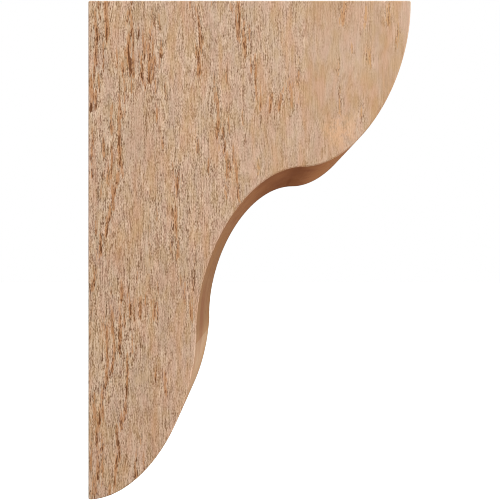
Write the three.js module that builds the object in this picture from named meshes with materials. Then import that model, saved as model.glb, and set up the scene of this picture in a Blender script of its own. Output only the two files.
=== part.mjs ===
// A wooden corbel bracket: one block of heavy softwood timber, its grain upright, with an S-shaped front
// sawn right through its width. The flat back goes against a wall, and the flat top carries the load.
// Millimetres. +X points out from the wall, +Y across the timber and +Z up.
// The origin is the middle of the flat back.
import * as THREE from "three";

// Driving dimensions: the front has three stretches, each with its own drop and its own reach from the wall

const timberWidth = 139.7; // between the two rough-sawn sides
const noseDrop = 118.4; // the nose is the upper bulge, from the top face down to its underside
const noseReach = 76.1; // how far the nose's underside lies behind its front
const coveDrop = 122.0; // the cove is the hollow under the nose
const coveReach = 76.8;
const heelDrop = 115.2; // the heel is the lower bulge, which runs in to the wall at the bottom tip
const heelReach = 77.0;
const arrisEase = 0.8; // flat taken off every sharp edge

// How full each stretch is: a curve's handle at its upper and lower end, as a share of the stretch it is on

const noseFullness = { upper: 0.526, lower: 0.477 };
const coveFullness = { upper: 0.54, lower: 0.466 };
const heelFullness = { upper: 0.621, lower: 0.416 };

// The cove and the heel meet in a slight crease, each leaning a little from the upright there

const coveLean = THREE.MathUtils.degToRad(1.8); // outwards
const heelLean = THREE.MathUtils.degToRad(3.8); // inwards

const CURVE_STEPS = 36; // straight steps in each stretch of the front

// Sizes that follow from them

const projection = noseReach + coveReach + heelReach;
const height = noseDrop + coveDrop + heelDrop;
const topZ = height / 2;
const tipZ = -height / 2;

// The bracket's side outline, seen with the wall on the left: X is the shape's x and Z its y
function sideOutline() {
  const noseFoot = new THREE.Vector2(projection - noseReach, topZ - noseDrop);
  const crease = new THREE.Vector2(heelReach, tipZ + heelDrop);
  const coveHandle = coveFullness.lower * coveDrop;
  const heelHandle = heelFullness.upper * heelDrop;
  const outline = new THREE.Shape();

  outline.moveTo(arrisEase, topZ);
  outline.lineTo(projection - arrisEase, topZ);
  outline.lineTo(projection, topZ - arrisEase);
  outline.bezierCurveTo(
    projection,
    topZ - noseFullness.upper * noseDrop,
    noseFoot.x + noseFullness.lower * noseReach,
    noseFoot.y,
    noseFoot.x,
    noseFoot.y,
  );
  outline.bezierCurveTo(
    noseFoot.x - coveFullness.upper * coveReach,
    noseFoot.y,
    crease.x - coveHandle * Math.sin(coveLean),
    crease.y + coveHandle * Math.cos(coveLean),
    crease.x,
    crease.y,
  );
  outline.bezierCurveTo(
    crease.x - heelHandle * Math.sin(heelLean),
    crease.y - heelHandle * Math.cos(heelLean),
    heelFullness.lower * heelReach,
    tipZ,
    arrisEase,
    tipZ,
  );
  outline.lineTo(0, tipZ + arrisEase);
  outline.lineTo(0, topZ - arrisEase);
  outline.closePath();
  return outline;
}

// The outline carried across the timber's width, with its arrises eased and the grain upright
function corbelBlock() {
  const straight = timberWidth - 2 * arrisEase;
  const block = new THREE.ExtrudeGeometry(sideOutline(), {
    curveSegments: CURVE_STEPS,
    depth: straight,
    bevelEnabled: true,
    bevelSegments: 1,
    bevelThickness: arrisEase,
    bevelSize: arrisEase,
    bevelOffset: -arrisEase,
  });
  block.translate(0, 0, -straight / 2);
  block.rotateX(Math.PI / 2);
  return block;
}

const sawnSoftwood = new THREE.MeshStandardMaterial({
  color: new THREE.Color().setRGB(0.75, 0.62, 0.51, THREE.SRGBColorSpace),
  roughness: 0.85,
  metalness: 0,
});

const corbel = new THREE.Mesh(corbelBlock(), sawnSoftwood);
corbel.name = "corbel";

const bracket = new THREE.Group();
bracket.add(corbel);

export default bracket;
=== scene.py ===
"""The looks of a wooden corbel bracket: one block of rough-sawn softwood with a smooth sawn front.

The timber is the frame's own solid, cut into a fine grid and carved with the torn fibres of rough-sawn
wood. Its streaks, growth rings and colours are in its materials, which read what the mesh notes at each
point. Sizes are in millimetres, and the places of the soft lights in metres, as in the frame.
"""

import logging
import math
import random
from collections.abc import Iterable, Mapping, Sequence
from dataclasses import dataclass, field
from enum import Enum
from typing import Any

import bmesh
import bpy
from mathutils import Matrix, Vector, noise

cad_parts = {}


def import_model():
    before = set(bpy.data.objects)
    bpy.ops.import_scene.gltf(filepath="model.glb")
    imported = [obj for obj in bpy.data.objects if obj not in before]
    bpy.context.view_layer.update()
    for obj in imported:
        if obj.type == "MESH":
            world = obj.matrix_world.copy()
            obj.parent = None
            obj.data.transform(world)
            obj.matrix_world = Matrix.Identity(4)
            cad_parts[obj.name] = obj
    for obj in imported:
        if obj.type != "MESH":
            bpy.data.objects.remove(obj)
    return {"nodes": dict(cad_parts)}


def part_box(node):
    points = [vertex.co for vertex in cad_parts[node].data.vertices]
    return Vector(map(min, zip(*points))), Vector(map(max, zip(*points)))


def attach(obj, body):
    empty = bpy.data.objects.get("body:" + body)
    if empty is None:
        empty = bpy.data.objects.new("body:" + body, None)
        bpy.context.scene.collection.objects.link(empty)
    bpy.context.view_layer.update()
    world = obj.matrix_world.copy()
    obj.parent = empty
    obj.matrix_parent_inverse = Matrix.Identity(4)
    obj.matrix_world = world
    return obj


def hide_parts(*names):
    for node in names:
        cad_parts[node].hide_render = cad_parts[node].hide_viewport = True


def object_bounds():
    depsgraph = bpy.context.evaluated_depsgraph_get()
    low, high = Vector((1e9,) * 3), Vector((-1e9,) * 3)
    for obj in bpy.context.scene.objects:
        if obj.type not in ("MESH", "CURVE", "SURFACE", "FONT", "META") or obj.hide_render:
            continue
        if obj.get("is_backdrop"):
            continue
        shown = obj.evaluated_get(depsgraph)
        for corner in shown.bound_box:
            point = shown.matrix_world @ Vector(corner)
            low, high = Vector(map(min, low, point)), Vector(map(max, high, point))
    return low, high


LOG = logging.getLogger("corbel")
MM = 0.001  # metres in a millimetre
NEAR_END = -70.0  # millimetres: some places across the timber are counted from here, at its near side

Colour = tuple[float, float, float]


def linear(red: int, green: int, blue: int) -> Colour:
    """Turns a colour as a paint chart gives it, 0 to 255 a channel, into Blender's linear one.

    Args:
        red: The chart's red.
        green: The chart's green.
        blue: The chart's blue.

    Returns:
        The linear red, green and blue.
    """

    def channel(value: int) -> float:
        """One channel by the usual display curve."""
        share = value / 255
        return share / 12.92 if share <= 0.04045 else ((share + 0.055) / 1.055) ** 2.4

    return channel(red), channel(green), channel(blue)


class Amount:
    """A number that changes over the wood: a node's output that Python arithmetic works on."""

    def __init__(self, graph: "Graph", socket: bpy.types.NodeSocket) -> None:
        """Keeps the graph and the output socket."""
        self.graph = graph
        self.socket = socket

    def _maths(self, operation: str, *terms: Any) -> "Amount":
        """Adds a Math node.

        Args:
            operation: The node's operation.
            *terms: Its inputs in order.

        Returns:
            The node's result.
        """
        made = self.graph.node("ShaderNodeMath", {"operation": operation}, dict(enumerate(terms)))
        return Amount(self.graph, made.outputs[0])

    def __add__(self, other: Any) -> "Amount":
        """Sum."""
        return self._maths("ADD", self, other)

    __radd__ = __add__

    def __sub__(self, other: Any) -> "Amount":
        """Difference."""
        return self._maths("SUBTRACT", self, other)

    def __rsub__(self, other: Any) -> "Amount":
        """Difference from a plain number."""
        return self._maths("SUBTRACT", other, self)

    def __mul__(self, other: Any) -> "Amount":
        """Product."""
        return self._maths("MULTIPLY", self, other)

    __rmul__ = __mul__

    def step(self, low: float, high: float) -> "Amount":
        """Rises smoothly from 0 to 1.

        Args:
            low: Where it starts to rise.
            high: Where it has risen.

        Returns:
            The smooth step.
        """
        ends = {"Value": self, "From Min": low, "From Max": high}
        made = self.graph.node("ShaderNodeMapRange", {"interpolation_type": "SMOOTHSTEP"}, ends)
        return Amount(self.graph, made.outputs["Result"])

    def clamped(self) -> "Amount":
        """Held between 0 and 1."""
        made = self.graph.node("ShaderNodeClamp", {}, {"Value": self})
        return Amount(self.graph, made.outputs[0])


class Graph:
    """The node tree of a material or a world, and the few ways that nodes are added to it."""

    def __init__(self, owner: bpy.types.Material | bpy.types.World) -> None:
        """Empties the owner's node tree.

        Args:
            owner: The material or world.
        """
        self.owner = owner
        self.owner.use_nodes = True
        self.tree = self.owner.node_tree
        self.tree.nodes.clear()

    def node(
        self, kind: str, settings: Mapping[str, Any], inputs: Mapping[str | int, Any]
    ) -> bpy.types.Node:
        """Adds a node.

        Args:
            kind: The node's type.
            settings: Its settings, which are set first.
            inputs: Values, amounts or output sockets for its inputs, by name or number.

        Returns:
            The node.
        """
        made = self.tree.nodes.new(kind)
        for setting, value in settings.items():
            setattr(made, setting, value)
        for key, value in inputs.items():
            if isinstance(value, Amount):
                value = value.socket
            if isinstance(value, bpy.types.NodeSocket):
                self.tree.links.new(value, made.inputs[key])
            else:
                made.inputs[key].default_value = value
        return made

    def place(self) -> bpy.types.NodeSocket:
        """The place in the wood, in millimetres."""
        coordinates = self.node("ShaderNodeTexCoord", {}, {})
        return self.scaled(coordinates.outputs["Object"], (1 / MM, 1 / MM, 1 / MM))

    def scaled(self, vector: bpy.types.NodeSocket, scale: Sequence[float]) -> bpy.types.NodeSocket:
        """A vector times a scale for each axis."""
        made = self.node("ShaderNodeMapping", {}, {"Vector": vector, "Scale": scale})
        return made.outputs[0]

    def attribute(self, name: str) -> Amount:
        """A number that the mesh carries at its vertices."""
        made = self.node("ShaderNodeAttribute", {"attribute_name": name}, {})
        return Amount(self, made.outputs["Fac"])

    def grain(
        self, place: bpy.types.NodeSocket, across: float, along: float, detail: float = 0.0
    ) -> Amount:
        """Noise drawn out along the grain, from about -1 to 1.

        Args:
            place: The place in the wood, in millimetres.
            across: The width of its patches.
            along: Their length, up the timber.
            detail: How many finer octaves it has.

        Returns:
            The noise.
        """
        stretched = self.scaled(place, (1 / across, 1 / across, 1 / along))
        inputs = {"Vector": stretched, "Scale": 1.0, "Detail": detail, "Roughness": 0.6}
        made = self.node("ShaderNodeTexNoise", {"normalize": False}, inputs)
        return Amount(self, made.outputs["Fac"])

    def lines(self, place: bpy.types.NodeSocket, across: float, along: float) -> Amount:
        """Fibres that stand out from their neighbours at both sides, with no broader patches.

        Args:
            place: The place in the wood, in millimetres.
            across: The fibres' width.
            along: Their length.

        Returns:
            The pattern, from about -1 to 1.
        """
        sides = []
        beyond = 1.15  # fibre widths to either side
        for shift in (-beyond, beyond):
            moved = {0: place, 1: (shift * across, shift * across, 0.0)}
            beside = self.node("ShaderNodeVectorMath", {"operation": "ADD"}, moved).outputs[0]
            sides.append(self.grain(beside, across, along))
        return self.grain(place, across, along) - (sides[0] + sides[1]) * 0.5

    def wandering(
        self, place: bpy.types.NodeSocket, reach: float, across: float, along: float
    ) -> bpy.types.NodeSocket:
        """The place moved a little sideways, so that the fibres waver.

        Args:
            place: The place in the wood, in millimetres.
            reach: How far it moves.
            across: The width of the patches that move alike.
            along: Their length.

        Returns:
            The moved place.
        """
        stretched = self.scaled(place, (1 / across, 1 / across, 1 / along))
        inputs = {"Vector": stretched, "Scale": 1.0, "Detail": 1.0}
        pattern = self.node("ShaderNodeTexNoise", {"normalize": False}, inputs)
        moves = {0: pattern.outputs["Color"], 1: (reach, reach, 0.0), 2: place}
        return self.node("ShaderNodeVectorMath", {"operation": "MULTIPLY_ADD"}, moves).outputs[0]

    def ramp(self, amount: Amount, stops: Sequence[tuple[float, Colour]]) -> bpy.types.NodeSocket:
        """Turns an amount into a colour.

        Args:
            amount: From 0 to 1.
            stops: The colours and their places, in order.

        Returns:
            The colour.
        """
        made = self.node("ShaderNodeValToRGB", {}, {"Fac": amount})
        points = made.color_ramp.elements
        for number, (where, colour) in enumerate(stops):
            point = points[number] if number < 2 else points.new(where)
            point.position = where
            point.color = (*colour, 1.0)
        return made.outputs["Color"]

    def mix(self, first: Any, second: Any, share: Any) -> bpy.types.NodeSocket:
        """Mixes two colours.

        Args:
            first: The colour at share 0, plain or a socket.
            second: The colour at share 1.
            share: How much of the second.

        Returns:
            The mixed colour.
        """
        settings = {"data_type": "RGBA"}
        ends = [(*end, 1.0) if isinstance(end, tuple) else end for end in (first, second)]
        made = self.node("ShaderNodeMix", settings, {0: share, 6: ends[0], 7: ends[1]})
        return made.outputs[2]

    def bump(self, height: Amount, strength: float) -> bpy.types.NodeSocket:
        """The shading of relief too fine for the mesh.

        Args:
            height: The relief in millimetres.
            strength: How much of it shows.

        Returns:
            The bent normal.
        """
        inputs = {"Height": height, "Distance": MM, "Strength": strength}
        return self.node("ShaderNodeBump", {}, inputs).outputs[0]

    def finish(self, inputs: Mapping[str, Any]) -> bpy.types.Material:
        """Ends the tree in a Principled shader.

        Args:
            inputs: The shader's inputs.

        Returns:
            The finished material.
        """
        shader = self.node("ShaderNodeBsdfPrincipled", {}, inputs)
        self.node("ShaderNodeOutputMaterial", {}, {"Surface": shader.outputs[0]})
        return self.owner


@dataclass(frozen=True)
class GrowthRings:
    """The rings of the tree that the block was sawn from, round a pith outside the block."""

    pith_out: float = 42.0  # the pith's place out from the wall
    pith_across: float = 235.0  # and across the timber
    ring: float = 3.4  # from one ring to the next
    warp: float = 4.0  # how far the rings stray from true circles
    unlike: float = 2.6  # how far good and bad years move a ring, in ring widths

    def latewood(self, graph: Graph, place: bpy.types.NodeSocket) -> Amount:
        """The dark latewood at each ring's outer edge.

        Args:
            graph: The material's graph.
            place: The place in the wood, in millimetres.

        Returns:
            0 in the pale earlywood and 1 in the latewood.
        """
        strayed = graph.wandering(place, self.warp, 46.0, 150.0)
        pith = {"Vector": strayed, "Location": (-self.pith_out, -self.pith_across, 0.0), "Scale": (1, 1, 0)}
        centred = graph.node("ShaderNodeMapping", {}, pith).outputs[0]
        reach = graph.node("ShaderNodeVectorMath", {"operation": "LENGTH"}, {0: centred})
        rings = Amount(graph, reach.outputs["Value"]) * (1 / self.ring)
        years = graph.node("ShaderNodeCombineXYZ", {}, {"X": rings}).outputs[0]
        good_years = graph.grain(years, 3.7, 1.0, 2.0)
        uneven = rings + good_years * self.unlike + 0.6 * graph.grain(place, 34.0, 400.0)
        turn = graph.node("ShaderNodeMath", {"operation": "FRACT"}, {0: uneven})
        across_ring = Amount(graph, turn.outputs[0])
        rises = across_ring.step(0.35, 0.86)
        falls = across_ring.step(0.93, 1.0)
        band = rises * (1 - falls)
        return band * (0.65 + good_years * 0.9).clamped()


class TornGrain:
    """The patterns of rough-sawn wood that its colours and its relief share."""

    def __init__(self, graph: Graph) -> None:
        """Adds the patterns to a material's graph.

        Args:
            graph: The material's graph.
        """
        self.place = graph.place()
        self.wavering = graph.wandering(self.place, 3.0, 20.0, 48.0)
        self.rough = graph.attribute("rough")
        self.dashes = graph.lines(self.place, 0.55, 1.5)
        self.short = graph.lines(self.wavering, 0.6, 4.2)
        self.long = graph.lines(self.wavering, 0.7, 20.0)
        self.cracks = graph.grain(self.wavering, 0.62, 6.0).step(0.30, 0.52)
        self.hue = graph.grain(self.wavering, 9.0, 46.0, 2.0)
        self.mottle = graph.grain(self.place, 6.0, 15.0, 1.0)
        self.region = graph.grain(self.place, 40.0, 60.0, 1.0) * (1.1 - self.rough)

    def tone(self) -> Amount:
        """How pale the bare wood is: torn fibres stand out where it is rough, and broad patches elsewhere.

        Returns:
            The paleness, from about 0 to about 1.
        """
        frayed = (self.dashes * 0.62 + self.short * 0.42) * (1.15 * self.rough - 0.07)
        torn = frayed - self.cracks * (self.rough - 0.25) * 0.16
        broad = (self.hue + self.mottle) * (1.1 - self.rough) * 0.07 + self.region * 0.10
        return torn + self.long * (0.05 + 0.35 * self.rough) + broad + 0.51

    def relief(self) -> Amount:
        """The relief too fine for the mesh, in millimetres."""
        height = self.short * 0.26 + self.long * 0.20 - self.cracks * 0.12
        return height * (0.25 + 0.75 * self.rough)


@dataclass(frozen=True)
class RoughSawnFinish:
    """Sawn sides and back: torn fibres, brown latewood streaks and dark tears, partly painted shade in
    their pits.
    """

    shadowed: Colour = linear(101, 67, 43)  # deep between the fibres
    dark: Colour = linear(137, 104, 77)
    dull: Colour = linear(168, 136, 111)
    middle: Colour = linear(196, 165, 142)
    pale: Colour = linear(211, 181, 157)
    # pale torn fibre tips: partly their own colour, partly painted highlight
    torn_tip_highlight: Colour = linear(238, 210, 186)
    cool: Colour = linear(190, 167, 149)
    warm: Colour = linear(202, 154, 112)
    pinkish: Colour = linear(206, 166, 148)
    straw: Colour = linear(198, 166, 126)
    latewood: Colour = linear(166, 113, 74)
    streak: Colour = linear(184, 127, 79)
    clean_streak: Colour = linear(198, 150, 102)  # where the blade left it whole
    streak_core: Colour = linear(134, 85, 52)
    # the torn-out pits: partly their own dark wood, partly painted shade
    tear: Colour = linear(108, 66, 38)
    # pale frayed fibres: partly their own colour, partly painted highlight
    fuzz_highlight: Colour = linear(219, 196, 173)
    blush: Colour = linear(228, 180, 142)  # an orange patch
    blush_at: tuple[float, float, float] = (180.0, -69.9, 85.0)  # low on the nose of the near side
    blush_reach: float = 19.0  # where it has faded out
    rings: GrowthRings = field(default_factory=GrowthRings)

    def material(self, name: str) -> bpy.types.Material:
        """Builds the node material.

        Args:
            name: The material's name.

        Returns:
            The material.
        """
        graph = Graph(bpy.data.materials.new(name))
        grain = TornGrain(graph)
        wood = self._blushed(graph, grain, self._bare_wood(graph, grain))
        wood = self._streaked(graph, grain, wood)
        normal = graph.bump(grain.relief(), 0.6)
        shine = {"Roughness": 0.82, "Specular IOR Level": 0.25}
        return graph.finish({"Base Color": wood, "Normal": normal, **shine})

    def _bare_wood(self, graph: Graph, grain: TornGrain) -> bpy.types.NodeSocket:
        """The wood between its streaks.

        Args:
            graph: The material's graph.
            grain: Its patterns.

        Returns:
            The colour.
        """
        tone = grain.tone()
        stops = (
            (0.0, self.shadowed),
            (0.2, self.dark),
            (0.36, self.dull),
            (0.52, self.middle),
            (0.68, self.pale),
            (1.0, self.torn_tip_highlight),
        )
        wood = graph.ramp(tone.clamped(), stops)
        wood = graph.mix(wood, self.cool, (grain.hue * 1.5).clamped() * (0.15 + 0.45 * tone))
        wood = graph.mix(wood, self.warm, (grain.hue * -1.5).clamped() * 0.42)
        wood = graph.mix(wood, self.pinkish, (grain.mottle * 1.8).clamped() * 0.34)
        wood = graph.mix(wood, self.straw, (grain.mottle * -1.8).clamped() * 0.34)
        wood = graph.mix(wood, self.clean_streak, (grain.region * -1.8).clamped() * 0.25)
        rings = self.rings.latewood(graph, grain.wavering)
        return graph.mix(wood, self.latewood, rings * 0.08)

    def _blushed(
        self, graph: Graph, grain: TornGrain, wood: bpy.types.NodeSocket
    ) -> bpy.types.NodeSocket:
        """Adds the orange patch and the pale frayed fibres, their paleness partly painted highlight.

        Args:
            graph: The material's graph.
            grain: Its patterns.
            wood: The colour so far.

        Returns:
            The colour with them.
        """
        ends = {0: grain.place, 1: self.blush_at}
        away = graph.node("ShaderNodeVectorMath", {"operation": "DISTANCE"}, ends)
        blush = 1 - Amount(graph, away.outputs["Value"]).step(3.0, self.blush_reach)
        curls = graph.grain(grain.place, 3.4, 5.5, 2.0).step(-0.7, 0.5)
        wood = graph.mix(wood, self.blush, blush * curls * 0.6)
        # where the frayed fibres show pale, partly as painted highlight
        tuft_highlights = (grain.rough - 0.6) * graph.grain(grain.wavering, 1.1, 7.0, 1.0).step(0.05, 0.45)
        return graph.mix(wood, self.fuzz_highlight, (tuft_highlights * 1.5).clamped())

    def _streaked(
        self, graph: Graph, grain: TornGrain, wood: bpy.types.NodeSocket
    ) -> bpy.types.NodeSocket:
        """Adds the brown streaks, their dark cores and the tears, darkened partly as painted shade in their
        pits, each broken up into strands.

        Args:
            graph: The material's graph.
            grain: Its patterns.
            wood: The colour so far.

        Returns:
            The colour with them.
        """
        streak = graph.attribute("streak")
        tear = graph.attribute("tear")
        strands = graph.lines(grain.wavering, 0.55, 11.0) * 1.5 + grain.short * 0.9 + grain.dashes * 0.7
        brown = (streak * 1.6 - 0.26 + strands * 0.62).step(0.0, 0.8) * streak.step(0.02, 0.3)
        streaked = graph.mix(self.clean_streak, self.streak, grain.rough.step(0.5, 0.8))
        wood = graph.mix(wood, streaked, brown * 0.70)
        core = (streak * 1.4 - 0.95 - strands * 0.7).step(0.0, 0.6) * streak.step(0.1, 0.4)
        wood = graph.mix(wood, self.streak_core, core * grain.rough.step(0.2, 0.6) * 0.85)
        # the tears: partly painted shade in the pits
        gap = (tear * 1.5 - 0.35 - strands * 0.6).step(0.0, 0.6) * tear.step(0.04, 0.25)
        return graph.mix(wood, self.tear, gap * 0.9)


@dataclass(frozen=True)
class SmoothSawnFinish:
    """The profile and the crosscut top: smooth, warmer, and darker where the blade crossed the grain."""

    # painted shade: the profile's wood, darker and warmer than the heel's, stands for the cove in shadow
    shaded_long_grain: Colour = linear(178, 140, 106)
    # painted light: the same wood, paler, for the heel where the key light falls
    lit_heel_grain: Colour = linear(194, 162, 133)
    end_grain: Colour = linear(203, 152, 114)
    latewood: Colour = linear(128, 76, 46)
    fleck: Colour = linear(112, 68, 42)
    reddish: Colour = linear(158, 100, 74)
    golden: Colour = linear(186, 136, 86)
    ring_show: float = -0.20  # how much more the rings show in end grain than along the grain
    clouded: float = 0.6  # how strongly its colour wanders
    darkens_from: float = 50.0  # across the timber, on its way to the far edge
    darkened_at: float = 70.0
    rings: GrowthRings = field(default_factory=GrowthRings)

    def material(self, name: str) -> bpy.types.Material:
        """Builds the node material.

        Args:
            name: The material's name.

        Returns:
            The material.
        """
        graph = Graph(bpy.data.materials.new(name))
        place = graph.place()
        wavering = graph.wandering(place, 2.0, 20.0, 48.0)
        end_grain = graph.attribute("end_grain")
        rings = self.rings.latewood(graph, place)
        fibres = graph.lines(wavering, 0.8, 24.0)
        pores = graph.grain(place, 0.7, 1.4, 1.0)
        patches = graph.grain(place, 16.0, 34.0, 2.0)
        flecks = graph.grain(wavering, 1.6, 7.0).step(0.42, 0.62)
        clouds = graph.grain(graph.scaled(wavering, (1.0, 0.4, 1.0)), 12.0, 70.0, 1.0)
        # painted light and shade: paler below the crease as the lit heel, darker above it as the shaded
        # cove
        wood = graph.mix(self.shaded_long_grain, self.lit_heel_grain, graph.attribute("heel").step(-0.3, 0.3))
        wood = graph.mix(wood, self.end_grain, end_grain)
        wood = graph.mix(wood, self.reddish, clouds.clamped() * self.clouded)
        wood = graph.mix(wood, self.golden, (clouds * -1.0).clamped() * self.clouded)
        wood = graph.mix(wood, self.latewood, rings * (0.28 + self.ring_show * end_grain))
        uneven = fibres * (1 - end_grain) * 0.50 + pores * end_grain * 0.12 + patches * 0.08
        wood = graph.mix(wood, self.latewood, uneven.clamped())
        wood = graph.mix(wood, self.fleck, flecks * 0.35)
        # painted shade in the cove's roof under the nose, and the dark line where the cuts meet
        wood = graph.mix(wood, self.latewood, graph.attribute("shade") * 0.6)
        axes = graph.node("ShaderNodeSeparateXYZ", {}, {0: place})
        far_edge = Amount(graph, axes.outputs["Y"]).step(self.darkens_from, self.darkened_at)
        wood = graph.mix(wood, self.fleck, far_edge * 0.35)
        relief = fibres * (1 - end_grain) * 0.05 + pores * end_grain * 0.06
        normal = graph.bump(relief, 0.8)
        shine = {"Roughness": 0.78, "Specular IOR Level": 0.12}
        return graph.finish({"Base Color": wood, "Normal": normal, **shine})


class Zone(Enum):
    """The kinds of surface on the block, with the number of the material that each takes."""

    SAWN_SIDE = 0
    WALL_FACE = 1
    PROFILE = 2
    TOP = 3


@dataclass(frozen=True)
class Streak:
    """A latewood streak on a sawn face, along a line of places, in millimetres."""

    path: tuple[tuple[float, float], ...]  # places (out from the wall or across, height), from the top down
    width: float  # from its middle to where less than half of its colour is left
    strength: float  # how brown it is, 0 to 1
    tear: float = 0.0  # how far its fibres are torn out, 0 to 1
    reach: float = 6.0  # it touches nothing past this many widths

    def _middle(self, height: float) -> float:
        """Where the streak's middle is at a height: above and below its ends, straight over or under them.

        Args:
            height: The height.

        Returns:
            The middle's place out from the wall.
        """
        level = min(max(height, self.path[-1][1]), self.path[0][1])
        for upper, lower in zip(self.path, self.path[1:]):
            if lower[1] <= level <= upper[1]:
                share = (upper[1] - level) / (upper[1] - lower[1])
                return upper[0] + share * (lower[0] - upper[0])
        return self.path[-1][0]

    def cover(self, out: float, height: float) -> tuple[float, float]:
        """How much of the streak is at a place: it fades in from the top and ends short.

        Args:
            out: The place out from the wall.
            height: The place's height.

        Returns:
            The streak's share there and that of the frayed wood beside it, each from 0 to 1.
        """
        wide = abs(out - self._middle(height)) / self.width
        if wide > self.reach:
            return 0.0, 0.0
        top = self.path[0][1]
        foot = self.path[-1][1]
        above = max(height - top, 0.0)
        below = max(foot - height, 0.0)
        fallen = min(max((top - height) / (top - foot), 0.0), 1.0)
        share = math.exp(-0.9 * wide * wide - 0.3 * above - 0.9 * below) * (0.7 + 0.3 * fallen)
        return share, math.exp(-0.14 * wide * wide - 0.15 * above - 0.2 * below)


@dataclass(frozen=True)
class Marks:
    """What marks one place of a sawn face."""

    rough: float  # how frayed, from 0, clean, to about 1.4 beside a streak
    brown: float  # how much of a streak's colour, from 0 to about 1.3
    torn: float  # how far the fibres are torn out, from 0 to about 1.3


@dataclass
class SawnFace:
    """One rough-sawn face: where its streaks are, how rough it is, and its relief."""

    seed: float
    streaks: tuple[Streak, ...]
    depth: float = 0.30  # of an ordinary torn fibre
    streak_depth: float = 0.12  # how far a brown streak lies below the rest
    tear_depth: float = 0.5  # how deep a tear goes
    swell: float = 0.03  # of the broad bundles of fibres
    smooth_from: float = 1e9  # the nose is sawn cleaner from here outwards
    smooth_above: float = 96.0  # and cleanest above this height
    band: float = 12.0  # streaks are looked up by bands of height
    bands: dict[int, list[Streak]] = field(default_factory=dict)

    def __post_init__(self) -> None:
        """Lists the streaks that reach each band of height."""
        for streak in self.streaks:
            lowest = math.floor((streak.path[-1][1] - self.band / 2) / self.band)
            highest = math.floor((streak.path[0][1] + self.band / 2) / self.band)
            for number in range(lowest, highest + 1):
                self.bands.setdefault(number, []).append(streak)

    def _evenness(self, out: float, height: float) -> float:
        """How torn the face is at a place away from its streaks.

        Args:
            out: The place out from the wall.
            height: The place's height.

        Returns:
            The share, from 0, clean, to about 1.
        """
        patches = 0.70 - 0.0018 * out + 0.20 * noise.noise(Vector((out / 34, height / 46, self.seed)))
        outer = smooth_step(out, self.smooth_from, self.smooth_from + 9.0)
        upper = smooth_step(height, self.smooth_above - 14.0, self.smooth_above + 6.0)
        return min(max(patches, 0.25), 0.95) * (1 - outer * (0.15 + 0.35 * upper))

    def marks(self, out: float, height: float) -> Marks:
        """The streaks and tears at a place.

        Args:
            out: The place out from the wall.
            height: The place's height.

        Returns:
            What marks the place.
        """
        wavered = out + 0.5 * noise.noise(Vector((self.seed, height / 16, out / 20)))
        wavered += 0.4 * noise.noise(Vector((self.seed + 5, height / 3.4, out / 4)))
        staggered = height + 6.0 * noise.noise(Vector((wavered / 1.2, height / 70, self.seed + 19)))
        breaks = 1.05 + 0.4 * noise.noise(Vector((out / 2.5, height / 9, self.seed + 3)))
        brown = 0.0
        torn = 0.0
        frayed = 0.0
        for streak in self.bands.get(math.floor(height / self.band), ()):
            cover, near = streak.cover(wavered, staggered)
            brown = max(brown, cover * streak.strength * breaks)
            torn = max(torn, cover**3 * streak.tear * breaks)
            frayed = max(frayed, near * streak.strength)
        rough = self._evenness(out, height) + 0.5 * frayed
        pits = noise.noise(Vector((wavered / 1.3, height / 8.0, self.seed + 7)))
        torn = max(torn, smooth_step(pits, 0.5, 0.75) * 0.2 * rough)
        return Marks(rough, brown, torn)

    def relief(self, out: float, height: float, marks: Marks) -> float:
        """How far the surface stands from true at a place, in millimetres.

        Args:
            out: The place out from the wall.
            height: The place's height.
            marks: What marks the place.

        Returns:
            The height of the relief, mostly below nought.
        """
        wavered = out + 3.0 * noise.noise(Vector((out / 20, self.seed, height / 48)))
        short = noise.noise(Vector((wavered / 1.15, height / 5.5, self.seed + 11)))
        long = noise.noise(Vector((wavered / 1.5, height / 18.0, self.seed + 13)))
        bundle = noise.noise(Vector((wavered / 5.0, height / 40.0, self.seed + 17)))
        fibres = marks.rough * self.depth * (0.55 * short + 0.45 * long - 0.25)
        hollow = self.streak_depth * marks.brown + self.tear_depth * marks.torn
        return fibres + self.swell * bundle - hollow


@dataclass(frozen=True)
class SawnProfile:
    """The smooth front: where its two upper cuts meet, the painted shade in the cove's roof, and where the
    cove ends in the heel, painted paler as if lit.
    """

    meeting: float = 148.4  # out from the wall, in the roof between the nose and the cove
    lowest: float = 20.0  # the height that the roof's painted shade ends above
    crease: float = -67.3  # the height where the heel's paler colour, painted light, begins at the near side
    fall: float = 0.032  # how far that line falls for each millimetre across

    def shade(self, out: float, across: float, height: float) -> float:
        """How dark the wood is painted at a place.

        Args:
            out: The place out from the wall.
            across: The place across the timber.
            height: The place's height.

        Returns:
            The share of latewood colour: most in the cove's roof, as uneven painted shade under the nose,
            and on the line where the cuts meet.
        """
        if height < self.lowest:
            return 0.0
        roof = smooth_step(out, 104.0, 140.0) * (1 - smooth_step(out, 150.0, 176.0))
        line = math.exp(-(((out - self.meeting) / 1.6) ** 2)) * smooth_step(across, -30.0, 20.0)
        # patches that make the painted shade uneven
        shade_patches = noise.noise(Vector((out / 12.0, across / 60.0, 4.0)))
        return roof * (1.0 + 0.45 * shade_patches) + 0.30 * line

    def heel(self, across: float, height: float) -> float:
        """How far below the crease, where the heel's painted light begins, a place is, in millimetres, less
        than nought above it.
        """
        edge = self.crease - self.fall * (across - NEAR_END)
        return edge - height


def smooth_step(value: float, low: float, high: float) -> float:
    """Rises smoothly from 0 at low to 1 at high."""
    share = min(max((value - low) / (high - low), 0.0), 1.0)
    return share * share * (3 - 2 * share)


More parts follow.
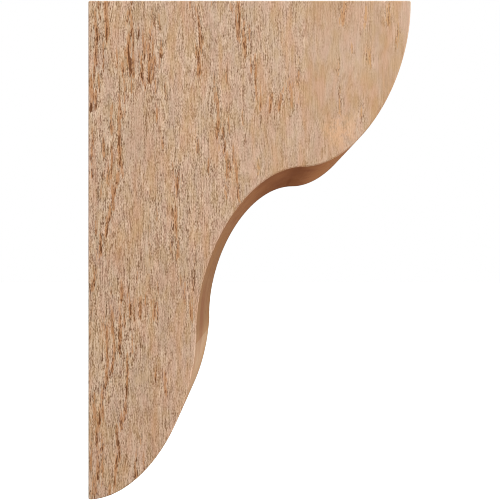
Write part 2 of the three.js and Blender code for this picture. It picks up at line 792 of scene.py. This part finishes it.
def scattered_streaks(
    seed: int, widest: float, count: int, strongest: float = 0.95
) -> tuple[Streak, ...]:
    """Streaks at seeded places.

    Args:
        seed: The seed of their places.
        widest: They lie from 0 to this, in millimetres.
        count: How many.
        strongest: How brown the brownest is.

    Returns:
        The streaks.
    """
    draw = random.Random(seed)
    made = []
    for _ in range(count):
        out = draw.uniform(2.0, widest)
        top = draw.uniform(-130.0, 178.0)
        length = draw.uniform(14.0, 70.0)
        lean = draw.uniform(-0.06, 0.06)
        places = tuple((out + lean * length * part, top - length * part) for part in (0.0, 0.5, 1.0))
        strength = draw.uniform(0.35, 1.0) * strongest
        made.append(Streak(places, draw.uniform(1.0, 2.0), strength, draw.choice((0.0, 0.0, 0.5))))
    return tuple(made)


# The streaks of the near side, noted one by one and turned into millimetres
NEAR_STREAKS = (
    Streak(((12.5, 177.3), (13.0, 168.0), (13.5, 150.9)), width=1.4, strength=1, tear=0.45),
    Streak(((7.1, 178.0), (7.5, 171.6)), width=1.0, strength=0.8, tear=0.4),
    Streak(((4.5, 168.7), (5.1, 160.9), (6.8, 149.5)), width=1.2, strength=1, tear=0.6),
    Streak(((7.8, 165.9), (8.9, 161.6)), width=0.7, strength=0.6, tear=0.7),
    Streak(((31.5, 175.9), (30.4, 170.9), (29.5, 165.9)), width=0.9, strength=0.8, tear=0.6),
    Streak(((28.3, 169.5), (27.8, 162.3)), width=0.8, strength=0.7, tear=0.4),
    Streak(((31.0, 162.3), (31.5, 149.5)), width=1.1, strength=0.9, tear=0.4),
    Streak(((46.9, 163.8), (47.2, 158.1)), width=0.7, strength=0.6, tear=0.5),
    Streak(((50.5, 165.2), (50.8, 156.6)), width=0.7, strength=0.5, tear=0.4),
    Streak(((43.8, 155.9), (44.1, 150.2)), width=0.8, strength=0.6, tear=0.4),
    Streak(((10.8, 149.5), (11.0, 129.6)), width=0.7, strength=0.7, tear=0.6),
    Streak(((6.3, 149.5), (5.7, 141.0), (5.9, 132.4)), width=1.1, strength=0.9, tear=0.3),
    Streak(((4.5, 133.9), (4.2, 121.8)), width=0.9, strength=0.8, tear=0.4),
    Streak(((2.3, 123.9), (2.8, 109.6)), width=1.4, strength=1, tear=0.1),
    Streak(((1.6, 108.2), (2.2, 101.1)), width=0.9, strength=0.9, tear=0.9),
    Streak(((5.1, 111.1), (5.3, 99.7)), width=1.0, strength=1, tear=0.6),
    Streak(((7.6, 121.0), (7.9, 111.8)), width=0.7, strength=0.8, tear=0.9),
    Streak(((20.4, 143.8), (20.4, 132.4)), width=0.7, strength=0.6, tear=0.3),
    Streak(((24.4, 135.3), (24.8, 126.7)), width=1.1, strength=0.9, tear=0.3),
    Streak(((28.4, 150.9), (29.1, 136.7), (30.3, 122.5)), width=1.3, strength=1, tear=0.5),
    Streak(((32.0, 153.8), (32.4, 143.8), (32.3, 123.9)), width=0.8, strength=0.9, tear=0.7),
    Streak(((35.7, 156.6), (35.8, 150.2)), width=0.7, strength=0.6, tear=0.6),
    Streak(((36.1, 141.0), (36.4, 135.3)), width=0.8, strength=0.5, tear=0.5),
    Streak(((39.2, 150.9), (40.4, 138.1)), width=1.1, strength=0.9, tear=0.5),
    Streak(((38.2, 132.4), (38.4, 118.2)), width=1.0, strength=1, tear=0.7),
    Streak(((43.4, 145.2), (43.8, 132.4), (43.6, 119.6)), width=1.3, strength=1, tear=0.8),
    Streak(((46.1, 148.1), (46.2, 121.8)), width=0.7, strength=0.8, tear=0.6),
    Streak(((47.5, 138.1), (47.7, 131.7)), width=0.8, strength=0.7, tear=0.7),
    Streak(((51.5, 145.2), (50.3, 131.0)), width=0.7, strength=0.8, tear=0.3),
    Streak(((40.7, 121.0), (40.9, 114.6)), width=0.7, strength=0.6, tear=0.8),
    Streak(((47.5, 119.6), (48.8, 113.2)), width=0.9, strength=0.7, tear=0.7),
    Streak(((30.8, 118.9), (30.8, 110.4)), width=0.7, strength=0.6, tear=0.5),
    Streak(((54.6, 118.2), (54.8, 106.8)), width=0.7, strength=0.6, tear=0.4),
    Streak(((48.9, 100.4), (49.2, 91.8)), width=0.9, strength=0.7, tear=0.6),
    Streak(((22.0, 110.4), (23.6, 96.1)), width=0.9, strength=0.9, tear=0.6),
    Streak(((26.1, 109.6), (26.1, 96.8)), width=0.7, strength=0.6, tear=0.5),
    Streak(((17.0, 104.0), (16.2, 84.0)), width=0.9, strength=0.8, tear=0.3),
    Streak(((2.8, 86.9), (3.2, 74.0)), width=1.0, strength=0.7, tear=0.1),
    Streak(((17.7, 89.7), (18.0, 81.2)), width=0.7, strength=0.6, tear=0.5),
    Streak(((21.6, 94.0), (22.0, 74.0), (22.4, 61.9)), width=1.1, strength=1, tear=0.5),
    Streak(((10.8, 81.9), (11.2, 67.6)), width=0.9, strength=0.7, tear=0.3),
    Streak(((16.6, 72.6), (16.7, 62.7)), width=0.7, strength=0.8, tear=0.7),
    Streak(((16.6, 62.7), (16.4, 50.6)), width=0.9, strength=0.9, tear=0.9),
    Streak(((24.0, 61.2), (24.5, 53.4)), width=0.9, strength=0.8, tear=0.3),
    Streak(((1.9, 76.2), (2.2, 65.5)), width=0.9, strength=0.7, tear=0.5),
    Streak(((2.5, 60.5), (2.8, 53.4)), width=0.8, strength=0.8, tear=0.8),
    Streak(((10.5, 58.4), (10.8, 52.7)), width=0.7, strength=0.7, tear=0.7),
    Streak(((14.0, 57.0), (14.7, 47.0)), width=1.2, strength=0.6),
    Streak(((22.3, 55.5), (20.4, 47.7), (18.4, 41.3)), width=1.1, strength=1, tear=0.6),
    Streak(((17.3, 42.0), (17.4, 35.6), (18.2, 29.2)), width=1.1, strength=1, tear=0.7),
    Streak(((15.9, 31.3), (15.5, 22.1)), width=1.1, strength=1, tear=1),
    Streak(((13.6, 24.2), (13.3, 12.8)), width=1.1, strength=1, tear=0.8),
    Streak(((5.8, 20.6), (6.1, 12.1)), width=0.9, strength=0.6, tear=0.1),
    Streak(((9.2, 42.7), (9.0, 34.2)), width=0.9, strength=0.5),
    Streak(((63.7, 52.7), (63.4, 42.0)), width=1.1, strength=0.9, tear=0.3),
    Streak(((66.4, 55.5), (66.6, 48.4)), width=0.7, strength=0.6, tear=0.7),
    Streak(((62.2, 27.8), (62.4, 19.9), (62.9, 7.8)), width=1.1, strength=0.95, tear=0.6),
    Streak(((52.5, 82.6), (53.3, 74.0)), width=0.7, strength=0.6, tear=0.5),
    Streak(((60.4, 60.5), (60.9, 50.6)), width=0.7, strength=0.5, tear=0.3),
    Streak(((49.1, 29.2), (49.5, 22.1)), width=0.7, strength=0.5, tear=0.4),
    Streak(((8.8, 7.1), (9.0, -5.7)), width=1.1, strength=1, tear=1),
    Streak(((4.7, -14.2), (4.4, -23.5)), width=0.9, strength=1, tear=1),
    Streak(((3.1, -21.4), (2.5, -27.8)), width=0.9, strength=1, tear=1),
    Streak(((24.0, -24.2), (24.3, -35.6)), width=1.2, strength=0.9, tear=0.5),
    Streak(((28.4, -24.9), (28.8, -32.0)), width=0.8, strength=0.7, tear=0.6),
    Streak(((29.7, -35.6), (30.3, -46.3)), width=1.0, strength=0.9, tear=1),
    Streak(((37.4, -33.5), (37.0, -47.7)), width=1.0, strength=0.9, tear=1),
    Streak(((41.4, -33.5), (40.4, -37.7)), width=0.8, strength=0.6, tear=0.8),
    Streak(((35.1, -15.7), (35.0, -22.1)), width=0.7, strength=0.5, tear=0.5),
    Streak(((46.5, -35.6), (47.6, -44.1), (47.3, -50.6)), width=3.0, strength=0.55),
    Streak(((17.2, -41.3), (17.6, -55.5)), width=1.3, strength=0.9, tear=0.3),
    Streak(((22.7, -45.6), (23.0, -57.0)), width=0.9, strength=1, tear=0.8),
    Streak(((25.6, -47.0), (26.4, -57.0)), width=0.8, strength=0.8, tear=0.5),
    Streak(((16.2, -25.6), (16.3, -33.5)), width=0.7, strength=0.5, tear=0.5),
    Streak(((58.5, 3.6), (58.6, -2.8)), width=0.7, strength=0.5, tear=0.6),
    Streak(((63.6, 7.1), (64.0, -6.4)), width=0.9, strength=0.8, tear=0.4),
    Streak(((65.9, -17.8), (66.1, -24.9)), width=0.7, strength=0.6, tear=0.4),
    Streak(((68.6, -19.9), (68.8, -35.6)), width=1.2, strength=0.5),
    Streak(((73.5, -37.7), (73.3, -49.8)), width=1.1, strength=0.7),
    Streak(((49.6, -20.6), (50.1, -29.2)), width=0.7, strength=0.4, tear=0.5),
    Streak(((18.7, -57.0), (18.4, -71.2), (17.6, -79.7), (16.2, -86.9)), width=0.9, strength=0.9, tear=0.6),
    Streak(((22.3, -66.2), (22.4, -74.8)), width=0.9, strength=1, tear=1),
    Streak(((23.3, -59.1), (22.6, -65.5)), width=1.4, strength=0.9, tear=0.1),
    Streak(((13.5, -57.7), (13.5, -71.2), (13.6, -84.7)), width=1.0, strength=0.9, tear=0.3),
    Streak(((13.3, -83.3), (12.6, -96.8)), width=1.1, strength=1, tear=0.7),
    Streak(((10.2, -96.8), (9.9, -106.8), (10.6, -116.8)), width=1.0, strength=0.95, tear=0.6),
    Streak(((8.3, -112.5), (8.0, -121.8)), width=1.1, strength=1, tear=0.9),
    Streak(((6.5, -120.3), (6.1, -128.9)), width=1.2, strength=0.9, tear=0.4),
    Streak(((28.1, -76.2), (28.4, -86.9)), width=0.9, strength=0.8, tear=0.3),
    Streak(((27.8, -88.3), (27.3, -98.3), (27.0, -107.5)), width=0.7, strength=0.85, tear=0.8),
    Streak(((26.3, -108.9), (26.0, -118.9)), width=1.0, strength=1, tear=0.9),
    Streak(((23.7, -118.2), (23.3, -128.9)), width=1.0, strength=0.9, tear=0.6),
    Streak(((31.2, -59.8), (31.3, -73.3)), width=0.7, strength=0.7, tear=0.5),
    Streak(((48.4, -82.6), (47.9, -92.6)), width=0.7, strength=0.6, tear=0.8),
    Streak(((54.5, -86.2), (55.2, -101.8)), width=1.1, strength=0.8, tear=0.3),
    Streak(((4.2, -104.0), (4.6, -118.9)), width=1.2, strength=0.8, tear=0.1),
    Streak(((5.8, -128.2), (6.0, -138.8)), width=0.9, strength=0.8, tear=0.7),
    Streak(((9.5, -132.4), (10.0, -141.0)), width=1.0, strength=0.8, tear=0.9),
    Streak(((7.3, -139.6), (7.5, -156.6)), width=1.0, strength=0.8, tear=0.4),
    Streak(((6.8, -156.6), (7.1, -165.2)), width=1.1, strength=1, tear=1),
    Streak(((10.3, -143.8), (10.6, -158.8)), width=1.0, strength=0.7, tear=0.3),
    Streak(((20.1, -128.2), (20.6, -142.4)), width=1.0, strength=1, tear=0.9),
    Streak(((22.0, -142.4), (22.4, -150.9)), width=0.9, strength=0.9, tear=0.9),
    Streak(((20.4, -150.9), (19.9, -158.8)), width=1.0, strength=0.95, tear=0.8),
    Streak(((19.4, -158.8), (18.9, -169.5)), width=1.1, strength=0.9, tear=0.4),
    Streak(((15.3, -165.2), (15.0, -174.4)), width=1.0, strength=0.8, tear=0.5),
    Streak(((34.2, -143.1), (34.4, -148.8)), width=0.8, strength=0.6, tear=0.6),
    Streak(((33.8, -155.9), (34.1, -163.0)), width=1.1, strength=0.8, tear=0.8),
    Streak(((39.8, -149.5), (40.2, -155.2)), width=0.9, strength=0.7, tear=0.6),
    Streak(((2.6, -135.3), (2.9, -175.2)), width=0.7, strength=0.6, tear=0.3),
    Streak(((4.6, -163.8), (4.9, -175.9)), width=0.9, strength=0.9, tear=0.6),
    Streak(((37.0, -126.0), (37.5, -136.0)), width=0.7, strength=0.5, tear=0.4),
    Streak(((72.3, 178.0), (72.6, 170.2)), width=0.8, strength=0.5, tear=0.3),
    Streak(((76.2, 171.6), (76.5, 165.2)), width=0.7, strength=0.6, tear=0.3),
    Streak(((78.3, 165.9), (78.8, 158.8)), width=1.0, strength=0.9, tear=0.7),
    Streak(((79.7, 155.2), (79.8, 144.5)), width=1.2, strength=1, tear=0.7),
    Streak(((82.0, 155.2), (82.1, 149.5)), width=0.7, strength=0.6, tear=0.6),
    Streak(((77.0, 143.8), (77.2, 136.7)), width=0.9, strength=0.8, tear=0.4),
    Streak(((79.1, 142.4), (78.7, 133.9), (79.1, 123.9)), width=1.3, strength=1, tear=0.5),
    Streak(((101.6, 174.4), (102.0, 168.7)), width=0.9, strength=0.8, tear=0.5),
    Streak(((107.3, 175.2), (107.6, 165.2), (107.7, 156.6)), width=1.1, strength=1, tear=0.9),
    Streak(((105.3, 175.2), (105.6, 158.1)), width=0.8, strength=0.8, tear=0.4),
    Streak(((106.6, 156.6), (107.0, 149.5)), width=1.1, strength=1, tear=0.6),
    Streak(((110.5, 153.1), (110.9, 144.5)), width=0.9, strength=0.8, tear=0.9),
    Streak(((111.1, 163.0), (111.6, 156.6)), width=0.8, strength=0.7, tear=0.7),
    Streak(((114.7, 163.8), (115.0, 155.2)), width=0.8, strength=0.7, tear=0.2),
    Streak(((111.6, 145.2), (112.0, 136.7)), width=1.1, strength=0.9, tear=0.6),
    Streak(((116.1, 135.3), (116.3, 128.2)), width=0.8, strength=0.7, tear=0.7),
    Streak(((119.0, 137.4), (119.4, 121.0), (120.1, 104.7)), width=0.9, strength=0.75, tear=0.3),
    Streak(((98.6, 128.2), (98.9, 116.8)), width=0.7, strength=0.4, tear=0.7),
    Streak(((51.5, 148.1), (51.8, 137.4)), width=0.9, strength=0.8, tear=0.4),
    Streak(((87.2, 176.6), (86.4, 171.6)), width=0.8, strength=0.5, tear=0.5),
    Streak(((89.8, 126.7), (90.1, 105.4)), width=1.1, strength=0.5, tear=0.2),
    Streak(((92.1, 110.4), (92.6, 98.3), (92.8, 86.9)), width=1.2, strength=0.9, tear=0.6),
    Streak(((96.2, 89.7), (96.5, 79.7)), width=0.9, strength=0.8, tear=0.8),
    Streak(((91.6, 86.9), (91.8, 80.5)), width=0.8, strength=0.8, tear=0.6),
    Streak(((97.0, 76.2), (97.3, 68.4)), width=1.0, strength=0.8, tear=0.7),
    Streak(((100.3, 93.3), (100.5, 81.9)), width=0.8, strength=0.6, tear=0.3),
    Streak(((103.3, 75.5), (103.7, 62.7)), width=0.9, strength=0.5, tear=0.1),
    Streak(((122.8, 112.5), (123.0, 98.3)), width=0.9, strength=0.7, tear=0.3),
    Streak(((130.4, 108.9), (129.8, 98.3)), width=1.1, strength=1, tear=0.5),
    Streak(((140.5, 119.6), (137.8, 112.5), (135.5, 101.8)), width=1.0, strength=0.8, tear=0.3),
    Streak(((143.1, 119.6), (143.4, 108.9)), width=1.2, strength=0.6),
    Streak(((109.9, 98.3), (110.4, 89.7)), width=0.8, strength=0.4, tear=0.7),
    Streak(((111.6, 82.6), (111.9, 76.2)), width=0.7, strength=0.4, tear=0.7),
    Streak(((100.7, 64.8), (101.0, 57.7)), width=0.9, strength=0.8, tear=0.7),
    Streak(((98.3, 65.5), (98.8, 57.0), (99.5, 49.8)), width=1.2, strength=0.9, tear=0.3),
    Streak(((98.3, 49.8), (98.2, 38.4)), width=1.2, strength=0.6),
    Streak(((104.5, 65.5), (105.6, 58.4), (106.4, 49.8)), width=1.2, strength=0.8, tear=0.3),
    Streak(((106.3, 49.8), (106.9, 41.3), (108.3, 34.9)), width=1.0, strength=0.7, tear=0.2),
    Streak(((85.5, 62.7), (85.7, 54.8)), width=0.8, strength=0.6, tear=0.5),
    Streak(((121.4, 64.1), (121.7, 55.5)), width=1.1, strength=0.5),
    Streak(((183.3, 176.6), (181.6, 169.5), (180.2, 163.0)), width=2.1, strength=0.85),
    Streak(((197.9, 169.5), (196.7, 158.1)), width=1.5, strength=0.65),
    Streak(((213.8, 176.6), (213.7, 160.9)), width=1.6, strength=0.75),
    Streak(((220.9, 158.1), (219.8, 147.4)), width=1.4, strength=0.7),
    Streak(((199.9, 142.4), (201.0, 131.7)), width=1.1, strength=0.7, tear=0.2),
    Streak(((198.0, 139.6), (198.3, 133.1)), width=0.7, strength=0.6, tear=0.3),
    Streak(((179.2, 113.9), (179.5, 98.3)), width=0.7, strength=0.75, tear=0.1),
    Streak(((194.5, 101.1), (194.8, 93.3)), width=1.1, strength=0.6, tear=0.1),
    Streak(((178.2, 133.1), (178.1, 124.6)), width=0.7, strength=0.5, tear=0.2),
    Streak(((149.7, 135.3), (149.4, 116.1)), width=0.8, strength=0.6, tear=0.5),
    Streak(((145.3, 118.2), (145.0, 101.1)), width=1.1, strength=0.6, tear=0.3),
    Streak(((150.7, 113.2), (148.6, 100.4)), width=0.8, strength=0.5, tear=0.4),
    Streak(((187.8, 146.7), (188.0, 141.0)), width=0.7, strength=0.5, tear=0.3),
)


@dataclass
class CorbelTimber:
    """The block itself: a finely cut copy of the frame's solid, with its relief carved into the mesh."""

    solid: bpy.types.Object
    weld: float = 0.0005  # points nearer than this are one, in millimetres
    column: float = 0.65  # the sides' grid, out from the wall
    row: float = 2.5  # and up and down
    slat: float = 9.6  # the steps across the profile and the top
    wall_slat: float = 1.6  # the finer steps across the wall face
    crease: float = 22.0  # degrees between two faces, past which their edge is shaded sharp
    arris_share: float = 0.35  # how much of the relief the points along an arris take
    near: SawnFace = field(
        default_factory=lambda: SawnFace(
            seed=2.5,
            streaks=NEAR_STREAKS + scattered_streaks(seed=11, widest=95.0, count=16, strongest=0.35),
            smooth_from=151.0,
        )
    )
    far: SawnFace = field(
        default_factory=lambda: SawnFace(
            seed=31.5, streaks=scattered_streaks(seed=5, widest=200.0, count=34)
        )
    )
    wall: SawnFace = field(
        default_factory=lambda: SawnFace(
            seed=57.5, streaks=scattered_streaks(seed=8, widest=139.0, count=16), depth=0.34
        )
    )
    profile: SawnProfile = field(default_factory=SawnProfile)
    materials: list[bpy.types.Material] = field(default_factory=list)

    def build(self) -> bpy.types.Object:
        """Cuts, carves and dresses the block.

        Returns:
            The finished piece.
        """
        mesh = bmesh.new()
        mesh.from_mesh(self.solid.data)
        bmesh.ops.remove_doubles(mesh, verts=mesh.verts, dist=self.weld * MM)
        flat = math.radians(0.02)
        bmesh.ops.dissolve_limit(mesh, angle_limit=flat, verts=mesh.verts, edges=mesh.edges)
        self._cut_grid(mesh)
        self._sort_faces(mesh)
        self._carve(mesh)
        made = bpy.data.meshes.new("corbel_timber")
        mesh.to_mesh(made)
        mesh.free()
        piece = bpy.data.objects.new("corbel_timber", made)
        bpy.context.scene.collection.objects.link(piece)
        for finish in self.materials:
            made.materials.append(finish)
        return piece

    def _cut_grid(self, mesh: bmesh.types.BMesh) -> None:
        """Cuts the whole block by columns and rows, and the faces that run across it by slats.

        Args:
            mesh: The block.
        """
        low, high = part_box("corbel")
        slice_faces(mesh, list(mesh.faces), 0, planes_between(low.x, high.x, self.column * MM))
        slice_faces(mesh, list(mesh.faces), 2, planes_between(low.z, high.z, self.row * MM))
        lean = 0.1  # the most that the normal of a face that runs straight across leans sideways
        straight = [face for face in mesh.faces if abs(face.normal.y) < lean]
        slice_faces(mesh, straight, 1, planes_between(low.y, high.y, self.slat * MM))
        straight = [face for face in mesh.faces if abs(face.normal.y) < lean]
        against_wall = [face for face in straight if zone_of(face.normal) is Zone.WALL_FACE]
        slice_faces(mesh, against_wall, 1, planes_between(low.y, high.y, self.wall_slat * MM))

    def _sort_faces(self, mesh: bmesh.types.BMesh) -> None:
        """Gives each face its zone's material, and turns sharp edges into sharp shading.

        Args:
            mesh: The block, finely cut.
        """
        mesh.normal_update()
        for face in mesh.faces:
            face.material_index = zone_of(face.normal).value
            face.smooth = True
        crease = math.radians(self.crease)
        for edge in mesh.edges:
            edge.smooth = edge.calc_face_angle(0.0) < crease

    def _carve(self, mesh: bmesh.types.BMesh) -> None:
        """Moves the points of the sawn faces to their relief, and notes what the materials need.

        Args:
            mesh: The block, finely cut.
        """
        names = ("rough", "streak", "tear", "end_grain", "shade", "heel")
        layers = {name: mesh.verts.layers.float.new(name) for name in names}
        moves = []
        for point in mesh.verts:
            zones = {zone_of(face.normal) for face in point.link_faces}
            steepest = max(abs(face.normal.z) for face in point.link_faces)
            point[layers["end_grain"]] = smooth_step(steepest, 0.25, 1.0)
            out, across, height = point.co / MM
            # painted shade under the nose, and the line where the cuts meet
            if Zone.PROFILE in zones:
                point[layers["shade"]] = self.profile.shade(out, across, height)
            # where the heel's painted light begins
            point[layers["heel"]] = self.profile.heel(across, height)
            if Zone.SAWN_SIDE in zones:
                face = self.near if across < 0 else self.far
                where = out
                ahead = Vector((0, math.copysign(1, across), 0))
            elif zones == {Zone.WALL_FACE}:
                face = self.wall
                where = across - NEAR_END
                ahead = Vector((-1, 0, 0))
            else:
                continue
            marks = face.marks(where, height)
            point[layers["rough"]] = marks.rough
            point[layers["streak"]] = marks.brown
            point[layers["tear"]] = marks.torn
            share = 1.0 if len(zones) == 1 else self.arris_share
            moves.append((point, ahead * face.relief(where, height, marks) * share * MM))
        for point, move in moves:
            point.co += move


def zone_of(normal: Vector) -> Zone:
    """The kind of surface that faces a direction.

    Args:
        normal: The direction.

    Returns:
        The kind.
    """
    if abs(normal.y) > 0.5:
        return Zone.SAWN_SIDE
    if normal.x < -0.5:
        return Zone.WALL_FACE
    return Zone.TOP if normal.z > 0.9 else Zone.PROFILE


def planes_between(low: float, high: float, step: float) -> list[float]:
    """Evenly spaced places between two ends, the ends left out."""
    count = round((high - low) / step)
    return [low + (high - low) * index / count for index in range(1, count)]


def slice_faces(
    mesh: bmesh.types.BMesh, faces: list[bmesh.types.BMFace], axis: int, places: list[float]
) -> None:
    """Cuts faces by every plane square to an axis, halving the faces at each plane.

    Args:
        mesh: The mesh that they are in.
        faces: The faces to cut.
        axis: 0, 1 or 2 for the planes' direction.
        places: The planes' places along the axis, in order.
    """
    if not places or not faces:
        return
    middle = len(places) // 2
    direction = Vector((axis == 0, axis == 1, axis == 2))
    edges = {edge for face in faces for edge in face.edges}
    points = {point for face in faces for point in face.verts}
    cut = bmesh.ops.bisect_plane(
        mesh,
        geom=[*faces, *edges, *points],
        dist=0.00001,
        plane_co=direction * places[middle],
        plane_no=direction,
    )
    halves: tuple[list[bmesh.types.BMFace], list[bmesh.types.BMFace]] = ([], [])
    for item in cut["geom"]:
        if isinstance(item, bmesh.types.BMFace):
            halves[item.calc_center_median()[axis] > places[middle]].append(item)
    slice_faces(mesh, halves[0], axis, places[:middle])
    slice_faces(mesh, halves[1], axis, places[middle + 1 :])


@dataclass(frozen=True)
class SoftLight:
    """A broad round light aimed at the middle of the block."""

    name: str
    place: tuple[float, float, float]  # in metres
    energy: float  # in watts
    colour: Colour
    size: float = 0.9  # across, in metres
    aim: tuple[float, float, float] = (0.1, 0.0, 0.0)

    def build(self) -> None:
        """Adds the light to the scene."""
        data = bpy.data.lights.new(self.name, "AREA")
        data.shape = "DISK"
        data.size = self.size
        data.energy = self.energy
        data.color = self.colour
        light = bpy.data.objects.new(self.name, data)
        light.location = self.place
        toward = Vector(self.place) - Vector(self.aim)
        light.rotation_euler = toward.to_track_quat("Z", "Y").to_euler()
        bpy.context.scene.collection.objects.link(light)


@dataclass(frozen=True)
class Studio:
    """The camera where the photograph was taken from, soft light, and a pale floor far below."""

    distance: float = 458.4  # from the near side to the camera
    out: float = 117.2  # the camera's place out from the wall
    height: float = -1.1  # and above the block's middle
    lens: float = 46.37
    shift_out: float = -0.0055
    shift_up: float = 0.0032
    floor_drop: float = 1500.0  # below the block's middle
    floor_size: float = 60000.0
    light_above: float = 0.735  # the world's strength from above
    light_below: float = 0.44
    colour_above: Colour = (1.0, 0.955, 0.89)
    colour_below: Colour = (1.0, 0.745, 0.54)
    key_colour: Colour = (0.75, 0.92, 1.0)
    key_energy: float = 3.2
    key_spread: float = 4.0  # degrees
    key_rise: float = 51.6  # degrees above level
    key_behind: float = 3.0  # degrees behind the near side
    window_colour: Colour = (0.82, 0.95, 1.0)
    soft_lights: tuple[SoftLight, ...] = (
        SoftLight("front", (0.6, -1.1, 0.6), 11.5, window_colour),
        SoftLight("fill", (1.2, -0.35, -0.75), 2.7, colour_below),
        SoftLight("back", (-1.2, 1.3, 0.7), 17.0, window_colour),
    )
    sharpness: float = 1.0  # how many pixels of the picture each point's light is spread over

    def build(self, low: Vector) -> None:
        """Sets up the camera, the lights, the world and the floor.

        Args:
            low: The block's lowest corner.
        """
        self._camera(low)
        self._world()
        self._floor()
        self._key()
        for light in self.soft_lights:
            light.build()
        scene = bpy.context.scene
        scene.view_settings.view_transform = "Standard"
        scene.view_settings.look = "None"
        scene.cycles.filter_width = self.sharpness

    def _camera(self, low: Vector) -> None:
        """Places the camera square to the block's near side.

        Args:
            low: The block's lowest corner.
        """
        data = bpy.data.cameras.new("camera")
        data.lens = self.lens
        data.sensor_width = 36.0
        data.shift_x = self.shift_out
        data.shift_y = self.shift_up
        data.clip_start = 0.01
        camera = bpy.data.objects.new("camera", data)
        camera.location = (self.out * MM, low.y - self.distance * MM, self.height * MM)
        camera.rotation_euler = (math.pi / 2, 0, 0)
        bpy.context.scene.collection.objects.link(camera)
        bpy.context.scene.camera = camera

    def _world(self) -> None:
        """A backdrop that is white to the camera, and lights the block softly, warmer from below."""
        world = bpy.data.worlds.new("studio")
        bpy.context.scene.world = world
        graph = Graph(world)
        direction = graph.node("ShaderNodeTexCoord", {}, {}).outputs["Generated"]
        upwards = graph.node("ShaderNodeSeparateXYZ", {}, {0: direction}).outputs["Z"]
        rise = Amount(graph, upwards).step(-0.6, 0.6)
        tint = graph.mix(self.colour_below, self.colour_above, rise)
        strength = self.light_below + rise * (self.light_above - self.light_below)
        soft = graph.node("ShaderNodeBackground", {}, {"Color": tint, "Strength": strength})
        white = graph.node("ShaderNodeBackground", {}, {"Color": (1.0, 1.0, 1.0, 1.0)})
        seen = graph.node("ShaderNodeLightPath", {}, {}).outputs["Is Camera Ray"]
        either = graph.node("ShaderNodeMixShader", {}, {0: seen, 1: soft.outputs[0], 2: white.outputs[0]})
        graph.node("ShaderNodeOutputWorld", {}, {"Surface": either.outputs[0]})

    def _floor(self) -> None:
        """A pale floor below the block, which doesn't light it."""
        mesh = bmesh.new()
        bmesh.ops.create_grid(mesh, x_segments=1, y_segments=1, size=self.floor_size * MM / 2)
        bmesh.ops.translate(mesh, verts=mesh.verts, vec=(0, 0, -self.floor_drop * MM))
        data = bpy.data.meshes.new("floor")
        mesh.to_mesh(data)
        mesh.free()
        floor = bpy.data.objects.new("floor", data)
        bpy.context.scene.collection.objects.link(floor)
        graph = Graph(bpy.data.materials.new("pale_floor"))
        data.materials.append(graph.finish({"Base Color": (0.92, 0.92, 0.92, 1.0), "Roughness": 0.9}))
        floor.visible_diffuse = False
        floor.visible_glossy = False
        floor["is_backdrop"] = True

    def _key(self) -> None:
        """A crisp light from high in front of the nose, along the block's side."""
        data = bpy.data.lights.new("key", "SUN")
        data.energy = self.key_energy
        data.color = self.key_colour
        data.angle = math.radians(self.key_spread)
        key = bpy.data.objects.new("key", data)
        rise = math.radians(self.key_rise)
        behind = math.radians(self.key_behind)
        toward = Vector(
            (math.cos(rise) * math.cos(behind), math.cos(rise) * math.sin(behind), math.sin(rise))
        )
        key.rotation_euler = toward.to_track_quat("Z", "Y").to_euler()
        bpy.context.scene.collection.objects.link(key)


def main() -> None:
    """Builds the timber and the studio round it."""
    logging.basicConfig(level=logging.INFO, format="%(name)s: %(message)s")
    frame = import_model()
    cad_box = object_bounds()
    rough = RoughSawnFinish()
    smooth = SmoothSawnFinish()
    crosscut = SmoothSawnFinish(
        end_grain=linear(160, 128, 98), latewood=linear(122, 88, 60), ring_show=0.14, clouded=0.15
    )
    finishes = [
        rough.material("rough_sawn_side"),
        rough.material("rough_sawn_back"),
        smooth.material("smooth_sawn_profile"),
        crosscut.material("crosscut_top"),
    ]
    timber = CorbelTimber(frame["nodes"]["corbel"], materials=finishes)
    piece = timber.build()
    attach(piece, "root")
    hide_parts("corbel")
    piece.data.calc_loop_triangles()
    LOG.info("%s: %d triangles", piece.name, len(piece.data.loop_triangles))
    Studio().build(cad_box[0])


if __name__ == "__main__":
    main()
